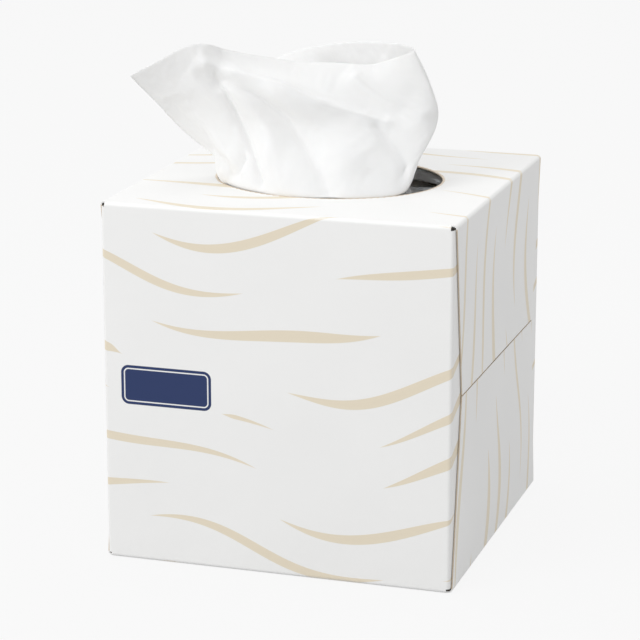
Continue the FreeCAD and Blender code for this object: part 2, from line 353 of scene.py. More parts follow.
@dataclass(frozen=True)
class StrokePrint:
    """The printed pattern: soft tapered strokes that follow one slow flow, row after row."""

    row_pitch_mm: float = 15.5
    span_mm: float = 104.0
    sway_mm: float = 7.5
    sway_length_mm: float = 25.0
    sway_drift_mm: float = 47.0
    ripple_mm: float = 2.6
    ripple_length_mm: float = 12.5
    ripple_drift_mm: float = -31.0
    ripple_lead: float = 0.9
    end_least: float = 0.04
    end_draw: float = 0.2
    half_least_mm: float = 1.4
    half_draw_mm: float = 0.6
    taper: float = 0.75
    sideways_mm: float = 2.0
    edge_mm: float = 0.26

    def mask(self, graph: Graph, along: Number, across: Number, room: Number) -> Number:
        """Where the strokes are printed.

        Args:
            graph: The material's graph.
            along: Distance along the strokes in millimetres.
            across: Distance across the rows in millimetres.
            room: From 0 to 1, how wide the strokes may be here.

        Returns:
            A mask that is 1 on the strokes.
        """
        sway = graph.math("SINE", along / self.sway_length_mm + across / self.sway_drift_mm)
        ripple = graph.math(
            "SINE", along / self.ripple_length_mm + across / self.ripple_drift_mm + self.ripple_lead)
        rows = (across + sway * self.sway_mm + ripple * self.ripple_mm) / self.row_pitch_mm
        row = graph.math("FLOOR", rows)
        off_row = (rows - row - 0.5) * self.row_pitch_mm
        shift = graph.add("ShaderNodeTexWhiteNoise", {"W": row}, noise_dimensions="1D").outputs[0]
        spans = along / self.span_mm + shift
        span = graph.math("FLOOR", spans)
        place = graph.join(row, span, 0.0)
        draw = graph.add("ShaderNodeTexWhiteNoise", {"Vector": place}, noise_dimensions="3D").outputs[1]
        start, end, fat = graph.split(draw)
        first = start * self.end_draw + self.end_least
        last = end * -self.end_draw + (1 - self.end_least)
        share = graph.math("DIVIDE", spans - span - first, last - first, clamp=True)
        taper = graph.math("POWER", graph.math("SINE", share * math.pi), self.taper)
        half = (fat * self.half_draw_mm + self.half_least_mm) * taper * room
        distance = abs(off_row - (start * (2 * self.sideways_mm) - self.sideways_mm))
        return graph.step(half - distance, 0.0, self.edge_mm)


@dataclass(frozen=True)
class PlainPatch:
    """A plain rounded patch of colour on the front panel, with a thin line inside its edge."""

    centre_x_mm: float = -37.0
    centre_z_mm: float = 60.0
    half_length_mm: float = 15.5
    half_height_mm: float = 6.6
    corner_mm: float = 2.6
    edge_mm: float = 0.1
    line_inset_mm: float = 1.15
    line_mm: float = 0.2
    margin_mm: float = 3.0

    def distance(self, graph: Graph, at: Axes) -> Number:
        """Distance outside the patch's edge, negative inside it.

        Args:
            graph: The material's graph.
            at: The position in millimetres.

        Returns:
            The distance in millimetres.
        """
        over_x = graph.larger(abs(at.x - self.centre_x_mm) - (self.half_length_mm - self.corner_mm), 0.0)
        over_z = graph.larger(abs(at.z - self.centre_z_mm) - (self.half_height_mm - self.corner_mm), 0.0)
        return graph.length(over_x, over_z) - self.corner_mm


@dataclass(frozen=True)
class BoardFinish:
    """White coated board, printed outside, and bare grey-brown inside and on its cut edges."""

    sizes: CartonSizes
    coat: Colour = (0.875, 0.875, 0.868)
    coat_mottle: float = 0.965
    stroke: Colour = (0.76, 0.68, 0.54)
    patch: Colour = (0.003, 0.02, 0.1)
    # Lighter coat colour along the folds: partly wear, partly a painted highlight on the fold edges.
    worn_and_highlight: Colour = (0.93, 0.93, 0.925)
    worn_and_highlight_share: float = 0.35
    ink_left: float = 0.55
    bare: Colour = (0.56, 0.49, 0.39)
    bare_mottle: float = 0.6
    cut: Colour = (0.69, 0.58, 0.45)
    coat_rough: float = 0.5
    bare_rough: float = 0.9
    coat_felt: float = 0.012
    bare_felt: float = 0.06
    felt_per_mm: float = 1.6
    mottle_per_mm: float = 0.03
    warp_mm: float = 0.9
    ink_mm: float = 0.006
    wear_mm: float = 1.1
    wear_edge_mm: float = 0.1
    torn_mm: float = 0.75
    torn_ties: int = 104
    torn_edge_mm: tuple[float, float] = (-0.06, 0.1)
    print: StrokePrint = field(default_factory=StrokePrint)
    label: PlainPatch = field(default_factory=PlainPatch)

    def build(self, effects: Effects) -> bpy.types.Material:
        """Build the material.

        Args:
            effects: The shared node groups.

        Returns:
            The material.
        """
        material, graph, shader = new_material("printed_board")
        position, normal = position_mm(graph)
        at = graph.split(position)
        fibre, tone = effects.add_fibre(graph, position, self.felt_per_mm, self.mottle_per_mm)
        outside, cut_edge = self.faces(graph, position, normal, at)
        wear_and_highlight = self.fold_wear_and_highlight(graph, at, fibre)
        label = self.label
        to_patch = label.distance(graph, at)
        on_front = at.y < self.sizes.board_mm - self.sizes.half_depth_mm
        room = graph.choose(on_front, 1.0, graph.step(to_patch, label.margin_mm, 3 * label.margin_mm))
        strokes = self.print.mask(graph, *self.unfold(graph, at), room)
        patch = on_front * graph.step(to_patch, label.edge_mm, -label.edge_mm)
        line = graph.step(abs(to_patch + label.line_inset_mm), label.line_mm * 1.5, label.line_mm * 0.5)
        coat = graph.blend(tone, rgba(self.coat), rgba(self.coat, self.coat_mottle))
        ink = graph.blend(strokes * graph.choose(wear_and_highlight, 1.0, self.ink_left), coat, rgba(self.stroke))
        patch_ink = graph.blend(line, rgba(self.patch), rgba(self.coat))
        printed = graph.blend(patch, ink, patch_ink)
        # Lighten the folds: coat wear, and a painted highlight along the fold edges.
        printed = graph.blend(wear_and_highlight * self.worn_and_highlight_share, printed, rgba(self.worn_and_highlight))
        printed = graph.blend(self.torn_line(graph, at, fibre), printed, rgba(self.cut))
        raw = graph.blend(cut_edge, rgba(self.bare), rgba(self.cut))
        raw = graph.blend(fibre * 0.35, raw, rgba(self.bare, self.bare_mottle))
        graph.put(shader.inputs["Base Color"], graph.blend(outside, raw, printed))
        inked = graph.larger(strokes, patch)
        coated = self.coat_rough + inked * -0.06 + wear_and_highlight * 0.2 + tone * 0.05
        graph.put(shader.inputs["Roughness"], graph.choose(outside, self.bare_rough, coated))
        felt = fibre * graph.choose(outside, self.bare_felt, self.coat_felt)
        graph.bump(shader, 0.5, MM, felt + tone * self.warp_mm + inked * self.ink_mm)
        return material

    def unfold(self, graph: Graph, at: Axes) -> tuple[Number, Number]:
        """Where a point of the carton lies on its flat blank, so that the print runs on over the folds.

        Args:
            graph: The material's graph.
            at: The position in millimetres.

        Returns:
            Distance along and across the strokes, in millimetres.
        """
        sizes = self.sizes
        width, depth, height = sizes.half_width_mm, sizes.half_depth_mm, sizes.height_mm
        to_side = abs(at.x)
        flap = to_side > width - sizes.board_mm - 0.1
        upper = at.z > sizes.seam_mm
        reach = graph.choose(upper, at.z, height - at.z)
        past_fold = to_side > width - sizes.dust_face_mm - sizes.fold_mm
        dust = past_fold * (at.z < height - sizes.fold_mm) * (at.z > sizes.fold_mm) * (1.0 - flap)
        beyond = flap * reach + dust * (depth - abs(at.y))
        along = graph.math("MULTIPLY_ADD", graph.math("SIGN", at.x), beyond, at.x)
        on_panel = at.y + depth + graph.choose(flap, at.z, upper * height)
        on_dust = (at.y > 0.0) * (2 * depth) + at.z
        return along, graph.choose(dust, on_panel, on_dust)

    def faces(self, graph: Graph, position: Socket, normal: Socket, at: Axes) -> tuple[Number, Number]:
        """Which points are on the coated outside, and which on a cut edge.

        Args:
            graph: The material's graph.
            position: The position in millimetres.
            normal: The surface's normal.
            at: The position's three parts.

        Returns:
            The outside mask and the cut edge mask.
        """
        sizes = self.sizes
        half_height = sizes.height_mm / 2
        middle = graph.add(
            "ShaderNodeVectorMath", {0: position, 1: (0.0, 0.0, half_height)}, operation="SUBTRACT")
        outwards = graph.add(
            "ShaderNodeVectorMath", {0: middle.outputs[0], 1: normal}, operation="DOT_PRODUCT")
        facing = Number(graph, outwards.outputs[1])
        turned = graph.split(normal)
        flap_edge = (
            (abs(at.x) > sizes.half_width_mm - sizes.board_mm + 0.02)
            * (abs(turned.x) < 0.3)
            * (abs(at.y) < sizes.half_depth_mm - 0.2)
            * (abs(at.z - half_height) < half_height - sizes.fold_mm)
        )
        rim = (at.z > sizes.height_mm - sizes.board_mm - 0.02) * (abs(turned.z) < 0.5) * (facing < 0.0)
        return (facing > 1.0) * (1.0 - flap_edge), graph.larger(flap_edge, rim)

    def torn_line(self, graph: Graph, at: Axes, fibre: Number) -> Number:
        """The thin line of bare board round the opening, where the coat tore along the perforation.

        Args:
            graph: The material's graph.
            at: The position in millimetres.
            fibre: Fine noise that frays the line.

        Returns:
            The line's mask.
        """
        reach_x, reach_y = self.sizes.opening_x_mm, self.sizes.opening_y_mm
        across, deep = at.x / reach_x, at.y / reach_y
        share = graph.length(across, deep)
        off = share * (share - 1.0) / graph.length(across / reach_x, deep / reach_y)
        ties = graph.math("SINE", graph.math("ARCTAN2", deep, across) * float(self.torn_ties))
        width = self.torn_mm + ties * (0.3 * self.torn_mm) + (fibre - 0.5) * self.torn_mm
        return (at.z > self.sizes.height_mm - 0.05) * graph.step(width - off, *self.torn_edge_mm)

    def fold_wear_and_highlight(self, graph: Graph, at: Axes, fibre: Number) -> Number:
        """How worn the coat is along the folds; the same mask lays a painted highlight along the fold edges.

        Args:
            graph: The material's graph.
            at: The position in millimetres.
            fibre: Fine noise that breaks up the edge of the wear and painted highlight.

        Returns:
            The wear and painted highlight, from 0 to 1.
        """
        from_side = self.sizes.half_width_mm - abs(at.x)
        from_front = self.sizes.half_depth_mm - abs(at.y)
        from_end = graph.smaller(at.z, self.sizes.height_mm - at.z)
        nearer, farther = graph.smaller(from_side, from_front), graph.larger(from_side, from_front)
        to_fold = graph.larger(nearer, graph.smaller(farther, from_end))
        return graph.step(to_fold + (fibre - 0.5) * self.wear_mm, self.wear_mm, self.wear_edge_mm)


@dataclass(frozen=True)
class TissueFinish:
    """Soft white tissue with a fine crepe and a faint broad mottle."""

    colour: Colour = (0.90, 0.90, 0.895)
    shade: Colour = (0.86, 0.86, 0.855)
    felt_per_mm: float = 2.4
    mottle_per_mm: float = 0.22
    crepe_per_mm: float = 1.7
    crepe_stretch: float = 0.22
    crepe_mm: float = 0.05
    rough: float = 0.86
    softness: tuple = (
        ("Sheen Weight", 0.12), ("Sheen Roughness", 0.6), ("Specular IOR Level", 0.25),
        ("Subsurface Weight", 0.35), ("Subsurface Radius", (1.0, 0.95, 0.9)), ("Subsurface Scale", 1.2 * MM),
    )

    def build(self, effects: Effects) -> bpy.types.Material:
        """Build the material. It reads the sheet's own UV map, which is in metres.

        Args:
            effects: The shared node groups.

        Returns:
            The material.
        """
        material, graph, shader = new_material("soft_tissue")
        flat = graph.scaled(graph.add("ShaderNodeUVMap", uv_map="sheet").outputs[0], 1 / MM)
        fibre, tone = effects.add_fibre(graph, flat, self.felt_per_mm, self.mottle_per_mm)
        stretched = graph.add("ShaderNodeMapping", {"Vector": flat, "Scale": (self.crepe_stretch, 1.0, 1.0)})
        crepe = graph.noise(stretched.outputs[0], self.crepe_per_mm, detail=3.0)
        graph.put(shader.inputs["Base Color"], graph.blend(tone, rgba(self.shade), rgba(self.colour)))
        graph.put(shader.inputs["Roughness"], crepe * 0.08 + self.rough)
        for name, value in self.softness:
            graph.put(shader.inputs[name], value)
        graph.bump(shader, 0.35, self.crepe_mm * MM, crepe + fibre * 0.6 + tone * 2.0)
        return material


@dataclass(frozen=True)
class FilmFinish:
    """Thin clear film: glossy, with a dark, partly opaque colour that paints shade over the view into the
    box, and painted bluish reflections along its creases.
    """

    # The dark clear colour, partly opaque, is painted shade that dims the view into the box; the bluish
    # crease colour is a painted reflection along the creases.
    clear: Colour = (0.035, 0.037, 0.04)
    crease_reflection: Colour = (0.42, 0.48, 0.54)
    clear_alpha: float = 0.12
    crease_reflection_alpha: float = 0.42
    rough: float = 0.06
    felt_per_mm: float = 0.9
    haze_per_mm: float = 0.08
    swell_per_mm: float = 0.2
    swell_turn: float = 0.5
    swell_stretch: tuple[float, float, float] = (0.45, 1.3, 1.0)
    swell_mm: float = 0.8

    def build(self, effects: Effects) -> bpy.types.Material:
        """Build the material.

        Args:
            effects: The shared node groups.

        Returns:
            The material.
        """
        material, graph, shader = new_material("clear_film")
        position, _ = position_mm(graph)
        drawn = graph.add("ShaderNodeMapping", {
            "Vector": position, "Rotation": (0.0, 0.0, self.swell_turn), "Scale": self.swell_stretch})
        swell = graph.noise(drawn.outputs[0], self.swell_per_mm, detail=3.0, roughness=0.6)
        felt, haze = effects.add_fibre(graph, position, self.felt_per_mm, self.haze_per_mm)
        crease = graph.step(abs(swell - 0.5), 0.035, 0.004) * graph.step(haze, 0.42, 0.6)
        # Paint shade over the film, and paint bluish reflection streaks along the creases, where the film is
        # also more opaque.
        graph.put(shader.inputs["Base Color"], graph.blend(crease, rgba(self.clear), rgba(self.crease_reflection)))
        graph.put(shader.inputs["Alpha"], graph.choose(crease, self.clear_alpha, self.crease_reflection_alpha))
        graph.put(shader.inputs["Roughness"], self.rough + felt * 0.1 + crease * 0.15)
        graph.bump(shader, 0.7, self.swell_mm * MM, swell)
        return material


def mesh_object(name: str, points: np.ndarray, faces: list[tuple[int, ...]]) -> bpy.types.Object:
    """Make a mesh object at the origin.

    Args:
        name: The object's name.
        points: Its points in metres.
        faces: Its faces as point numbers.

    Returns:
        The object.
    """
    mesh = bpy.data.meshes.new(name)
    mesh.from_pydata([tuple(map(float, point)) for point in points], [], faces)
    mesh.validate()
    mesh.polygons.foreach_set("use_smooth", [True] * len(mesh.polygons))
    mesh.update()
    made = bpy.data.objects.new(name, mesh)
    bpy.context.scene.collection.objects.link(made)
    return made


def grid_faces(columns: int, rows: int) -> list[tuple[int, int, int, int]]:
    """The quads of a grid whose points are listed column by column.

    Args:
        columns: How many columns of points.
        rows: How many points in each column.

    Returns:
        The faces.
    """
    corners = (i * rows + j for i in range(columns - 1) for j in range(rows - 1))
    return [(here, here + rows, here + rows + 1, here + 1) for here in corners]


def apply_modifiers(made: bpy.types.Object) -> None:
    """Make an object's modified shape its own plain mesh and remove the modifiers.

    Args:
        made: The object.
    """
    graph = bpy.context.evaluated_depsgraph_get()
    mesh = bpy.data.meshes.new_from_object(made.evaluated_get(graph))
    made.modifiers.clear()
    made.data = mesh


def thicken(made: bpy.types.Object, thickness_mm: float, offset: float) -> None:
    """Give a sheet its thickness and make the result its own plain mesh.

    Args:
        made: The sheet's object.
        thickness_mm: The thickness.
        offset: 0 to grow to both sides of the sheet, or -1 to grow on its underside only.
    """
    modifier = made.modifiers.new("thickness", "SOLIDIFY")
    modifier.thickness = thickness_mm * MM
    modifier.offset = offset
    apply_modifiers(made)


class GeometryTree:
    """A Geometry Nodes tree with named inputs, run once to make a plain mesh."""

    def __init__(self, name: str, inputs: dict[str, str]) -> None:
        """Make the empty tree.

        Args:
            name: The tree's name.
            inputs: Its input names and their socket types.
        """
        self.tree = bpy.data.node_groups.new(name, "GeometryNodeTree")
        self.sockets = {
            label: self.tree.interface.new_socket(name=label, in_out="INPUT", socket_type=kind)
            for label, kind in inputs.items()
        }
        self.tree.interface.new_socket(name="Geometry", in_out="OUTPUT", socket_type="NodeSocketGeometry")
        self.graph = Graph(self.tree)
        self.given = self.graph.add("NodeGroupInput").outputs

    def number(self, label: str) -> Number:
        """One of the inputs, as a number."""
        return Number(self.graph, self.given[label])

    def end(self, instances: Socket) -> None:
        """Realize what was made, give it the tree's material and pass it out.

        Args:
            instances: The geometry so far.
        """
        real = self.graph.add("GeometryNodeRealizeInstances", {"Geometry": instances})
        dressed = self.graph.add("GeometryNodeSetMaterial", {"Geometry": real.outputs[0]})
        self.graph.put(dressed.inputs["Material"], self.given["Material"])
        self.graph.add("NodeGroupOutput", {0: dressed.outputs[0]})

    def make(self, name: str, values: dict[str, object]) -> bpy.types.Object:
        """Run the tree into a plain mesh object.

        Args:
            name: The new object's name.
            values: The inputs' names and values.

        Returns:
            The object, with no modifier left on it.
        """
        made = mesh_object(name, np.zeros((0, 3)), [])
        modifier = made.modifiers.new("nodes", "NODES")
        modifier.node_group = self.tree
        for label, value in values.items():
            modifier[self.sockets[label].identifier] = value
        apply_modifiers(made)
        return made


def smooth(places: np.ndarray, values: np.ndarray, at: np.ndarray) -> np.ndarray:
    """A smooth curve through values at rising places, read at other places.

    Args:
        places: The places, rising.
        values: One value or array of values for each place.
        at: Where to read the curve.

    Returns:
        The values there.
    """
    places, at = np.asarray(places, float), np.asarray(at, float)
    last = len(places) - 1
    shape = (-1,) + (1,) * (values.ndim - 1)
    slopes = np.empty_like(values)
    for i in range(last + 1):
        a, b = max(i - 1, 0), min(i + 1, last)
        slopes[i] = (values[b] - values[a]) / (places[b] - places[a])
    i = np.clip(np.searchsorted(places, at, side="left") - 1, 0, last - 1)
    gap = places[i + 1] - places[i]
    u = ((at - places[i]) / gap).reshape(shape)
    gap = gap.reshape(shape)
    return (
        values[i] * (2 * u**3 - 3 * u**2 + 1)
        + slopes[i] * gap * (u**3 - 2 * u**2 + u)
        + values[i + 1] * (3 * u**2 - 2 * u**3)
        + slopes[i + 1] * gap * (u**3 - u**2)
    )


@dataclass
class Carton:
    """The folded carton: the CAD node with its printed finish, and the torn nibs round its opening."""

    sizes: CartonSizes = field(default_factory=CartonSizes.from_frame)
    nibs: int = 104
    nib_length_mm: float = 0.42
    nib_radius_mm: float = 0.21
    nib_root_share: float = 0.15
    nib_scales: tuple[float, float] = (0.55, 1.1)
    seed: int = 7

    def dress(self, finish: bpy.types.Material) -> None:
        """Give the CAD carton its finish.

        Args:
            finish: The printed board.
        """
        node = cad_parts["carton"]
        node.data.materials.clear()
        node.data.materials.append(finish)
        log.info("carton dressed")

    def build_nibs(self, finish: bpy.types.Material) -> bpy.types.Object:
        """Build the torn nibs that the perforation left round the opening's rim.

        Args:
            finish: The printed board.

        Returns:
            The piece.
        """
        tree = GeometryTree("perforation_nibs", {
            "Count": "NodeSocketInt", "Rim": "NodeSocketVector", "Height": "NodeSocketFloat",
            "Length": "NodeSocketFloat", "Radius": "NodeSocketFloat", "Seed": "NodeSocketInt",
            "Material": "NodeSocketMaterial",
        })
        graph, given = tree.graph, tree.given
        circle = graph.add("GeometryNodeCurvePrimitiveCircle", {"Resolution": 256, "Radius": 1.0})
        rim = graph.add("GeometryNodeTransform", {"Geometry": circle.outputs[0], "Scale": given["Rim"]})
        points = graph.add("GeometryNodeCurveToPoints", {"Curve": rim.outputs[0], "Count": given["Count"]})
        place = graph.add("GeometryNodeInputPosition").outputs[0]
        inward = graph.scaled(place, -1.0)
        turn = graph.add("FunctionNodeAlignRotationToVector", {"Vector": inward}, axis="Z").outputs[0]
        nib = graph.add("GeometryNodeMeshCone", {
            "Vertices": 6, "Radius Top": 0.0, "Radius Bottom": given["Radius"], "Depth": given["Length"]})
        root = graph.join(0.0, 0.0, tree.number("Length") * -self.nib_root_share)
        rooted = graph.add("GeometryNodeTransform", {"Geometry": nib.outputs[0], "Translation": root})
        least, most = self.nib_scales
        size = graph.add("FunctionNodeRandomValue", {2: least, 3: most, "Seed": given["Seed"]}).outputs[1]
        placed = graph.add("GeometryNodeInstanceOnPoints", {
            "Points": points.outputs[0], "Instance": rooted.outputs[0], "Rotation": turn, "Scale": size})
        raised = graph.add("GeometryNodeTransform", {
            "Geometry": placed.outputs[0], "Translation": graph.join(0.0, 0.0, given["Height"])})
        tree.end(raised.outputs[0])
        sizes = self.sizes
        piece = tree.make("perforation_nibs", {
            "Count": self.nibs,
            "Rim": (sizes.opening_x_mm * MM, sizes.opening_y_mm * MM, 1.0),
            "Height": (sizes.height_mm - sizes.board_mm / 2) * MM,
            "Length": self.nib_length_mm * MM,
            "Radius": self.nib_radius_mm * MM,
            "Seed": self.seed,
            "Material": finish,
        })
        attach(piece, ROOT)
        log.info("perforation nibs built with %d faces", len(piece.data.polygons))
        return piece


@dataclass
class DispensingFilm:
    """The clear film under the opening, raised and creased along its slit."""

    rings: int = 26
    spokes: int = 144
    thickness_mm: float = 0.05
    lift_mm: float = 3.2
    dome_x_mm: float = 36.5
    dome_y_mm: float = 31.5
    slit_x_mm: float = 37.0
    slit_y_mm: float = 8.5
    crease_mm: float = 0.35
    crease_waves: tuple = ((9, 3, 0.0, 0.6), (17, -5, 1.0, 0.4))

    def dome(self, x: np.ndarray, y: np.ndarray) -> tuple[np.ndarray, np.ndarray]:
        """How far out places lie on the dome, and their share of its lift, both from 0 to 1."""
        distance = np.minimum(np.hypot(x / self.dome_x_mm, y / self.dome_y_mm), 1.0)
        return distance, np.cos(distance * np.pi / 2) ** 2

    def surface(self, x: np.ndarray, y: np.ndarray, base_mm: float) -> np.ndarray:
        """Height of the film's top face.

        Args:
            x: Positions from left to right in millimetres.
            y: Positions from front to back in millimetres.
            base_mm: Height of the flat film.

        Returns:
            Heights in millimetres.
        """
        distance, lift = self.dome(x, y)
        turn = np.arctan2(y / self.dome_y_mm, x / self.dome_x_mm)
        crease = sum(share * np.sin(count * turn + twist * distance + start)
                     for count, twist, start, share in self.crease_waves)
        return base_mm + self.lift_mm * lift + self.crease_mm * crease * lift * (1 - lift) * 2

    def build(self, finish: bpy.types.Material) -> bpy.types.Object:
        """Build the film in place of its CAD node.

        Args:
            finish: The clear film's material.

        Returns:
            The piece.
        """
        low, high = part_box("dispensing_film")
        edge_x, edge_y = high.x / MM, high.y / MM
        base = low.z / MM + self.thickness_mm
        points, faces = [], []
        for i in range(self.spokes):
            turn = 2 * math.pi * i / self.spokes
            cosine, sine = math.cos(turn), math.sin(turn)
            inner = np.array([self.slit_x_mm * cosine, self.slit_y_mm * sine])
            reach = 1 / max(abs(cosine) / edge_x, abs(sine) / edge_y)
            outer = np.array([reach * cosine, reach * sine])
            for j in range(self.rings):
                share = j / (self.rings - 1)
                x, y = inner + (outer - inner) * share
                points.append((x, y, float(self.surface(x, y, base))))
            here, after = i * self.rings, (i + 1) % self.spokes * self.rings
            for j in range(self.rings - 1):
                faces.append((here + j, here + j + 1, after + j + 1, after + j))
        piece = mesh_object("film_sheet", np.array(points) * MM, faces)
        thicken(piece, self.thickness_mm, -1.0)
        piece.data.materials.append(finish)
        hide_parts("dispensing_film")
        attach(piece, ROOT)
        log.info("film built with %d faces", len(piece.data.polygons))
        return piece


@dataclass
class TissuePack:
    """The pack of interfolded tissues, bent into an arch: layer on layer, each as long as the next."""

    layers: int = 24
    columns: int = 61
    depth_columns: int = 9
    thickness_mm: float = 28.0
    crown_flat_mm: float = 2.0
    gap_share: float = 0.22
    waver_mm: float = 0.25
    end_waver_mm: float = 0.9
    end_room_mm: float = 0.6
    waver_pitch: tuple[float, float, float] = (40.0, 22.0, 3.7)
    seed: int = 11

    def build(self, finish: bpy.types.Material) -> bpy.types.Object:
        """Build the pack in place of its CAD node.

        Args:
            finish: The tissue's material.

        Returns:
            The piece.
        """
        low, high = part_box("tissue_stack")
        pitch = self.thickness_mm / self.layers
        outer = high.x / MM - self.crown_flat_mm / 2
        centre = high.z / MM - outer
        inner = outer - self.thickness_mm
        width = self.crown_flat_mm + math.pi * inner + 2 * (centre - low.z / MM)
        piece = self.build_tree().make("tissue_layers", {
            "Layers": self.layers, "Columns": self.columns, "Depth Columns": self.depth_columns,
            "Width": (width - 2 * self.end_waver_mm - self.end_room_mm) * MM,
            "Depth": (high.y - low.y) - 2 * self.waver_mm * MM,
            "Inner Radius": (inner + pitch / 2) * MM,
            "Outer Radius": (outer - pitch / 2 - self.waver_mm) * MM,
            "Crown": self.crown_flat_mm / 2 * MM, "Centre": centre * MM,
            "Waver": self.waver_mm * MM, "End Waver": self.end_waver_mm * MM, "Seed": self.seed,
            "Material": finish,
        })
        thicken(piece, pitch * (1 - self.gap_share), 0.0)
        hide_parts("tissue_stack")
        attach(piece, ROOT)
        log.info("tissue pack built with %d faces", len(piece.data.polygons))
        return piece

    def build_tree(self) -> GeometryTree:
        """Build the tree that bends flat layers over the arch.

        Returns:
            The tree.
        """
        lengths = ("Width", "Depth", "Inner Radius", "Outer Radius", "Crown", "Centre", "Waver", "End Waver")
        inputs = {name: "NodeSocketInt" for name in ("Layers", "Columns", "Depth Columns", "Seed")}
        inputs |= {name: "NodeSocketFloat" for name in lengths}
        tree = GeometryTree("bent_layers", inputs | {"Material": "NodeSocketMaterial"})
        graph, given = tree.graph, tree.given
        line = graph.add("GeometryNodeMeshLine", {"Count": given["Layers"]})
        flat = graph.add("GeometryNodeMeshGrid", {
            "Size X": given["Width"], "Size Y": given["Depth"],
            "Vertices X": given["Columns"], "Vertices Y": given["Depth Columns"]})
        placed = graph.add("GeometryNodeInstanceOnPoints", {
            "Points": line.outputs[0], "Instance": flat.outputs[0]})
        index = graph.add("GeometryNodeInputIndex").outputs[0]
        marked = graph.add("GeometryNodeStoreNamedAttribute", {
            "Geometry": placed.outputs[0], "Name": "layer", "Value": index}, domain="INSTANCE")
        real = graph.add("GeometryNodeRealizeInstances", {"Geometry": marked.outputs[0]})
        layer = Number(graph, graph.add("GeometryNodeInputNamedAttribute", {"Name": "layer"}).outputs[0])
        along, depth, _ = graph.split(graph.add("GeometryNodeInputPosition").outputs[0])
        draw = graph.add("FunctionNodeRandomValue", {
            2: -1.0, 3: 1.0, "ID": layer, "Seed": given["Seed"]}).outputs[1]
        along = along + tree.number("End Waver") * draw
        spot = graph.join(*(part * pitch for part, pitch in zip((along, depth, layer), self.waver_pitch)))
        uneven = graph.noise(spot, 1.0) - 0.5
        share = layer / (tree.number("Layers") - 1.0)
        radius = graph.choose(share, given["Inner Radius"], given["Outer Radius"])
        radius = radius + uneven * 2.0 * given["Waver"]
        out = abs(along)
        beyond = graph.larger(out - given["Crown"], 0.0)
        quarter = radius * (math.pi / 2)
        angle = graph.smaller(beyond, quarter) / radius
        leg = graph.larger(beyond - quarter, 0.0)
        sideways = graph.smaller(out, given["Crown"]) + radius * graph.math("SINE", angle)
        x = sideways * graph.math("SIGN", along)
        z = tree.number("Centre") + radius * graph.math("COSINE", angle) - leg
        bent = graph.add("GeometryNodeSetPosition", {
            "Geometry": real.outputs[0], "Position": graph.join(x, depth, z)})
        tree.end(bent.outputs[0])
        return tree


class FoldKind(Enum):
    """How a fold's section is shaped."""

    SOFT = "soft"
    CRISP = "crisp"


@dataclass(frozen=True)
class Fold:
    """A fold across the sheet along a line of places, as shares across and millimetres up."""

    line: tuple[tuple[float, float], ...]
    width_mm: float
    depth_mm: float
    kind: FoldKind = FoldKind.SOFT

    def press(self, column: np.ndarray, row: np.ndarray, sheet_mm: float) -> np.ndarray:
        """How far the fold moves the sheet outwards.

        Args:
            column: Distances across the sheet in millimetres.
            row: Distances up the sheet in millimetres.
            sheet_mm: The sheet's width.

        Returns:
            The movement in millimetres.
        """
        distance = np.full(column.shape, 1e9)
        for (share0, up0), (share1, up1) in zip(self.line, self.line[1:]):
            run, rise = (share1 - share0) * sheet_mm, up1 - up0
            ahead, above = column - share0 * sheet_mm, row - up0
            part = np.clip((ahead * run + above * rise) / (run**2 + rise**2), 0, 1)
            distance = np.minimum(distance, np.hypot(ahead - part * run, above - part * rise))
        if self.kind is FoldKind.SOFT:
            return self.depth_mm * np.exp(-((distance / self.width_mm) ** 2))
        rounding = 0.2 * self.width_mm
        return self.depth_mm * np.exp((rounding - np.hypot(distance, rounding)) / (0.62 * self.width_mm))


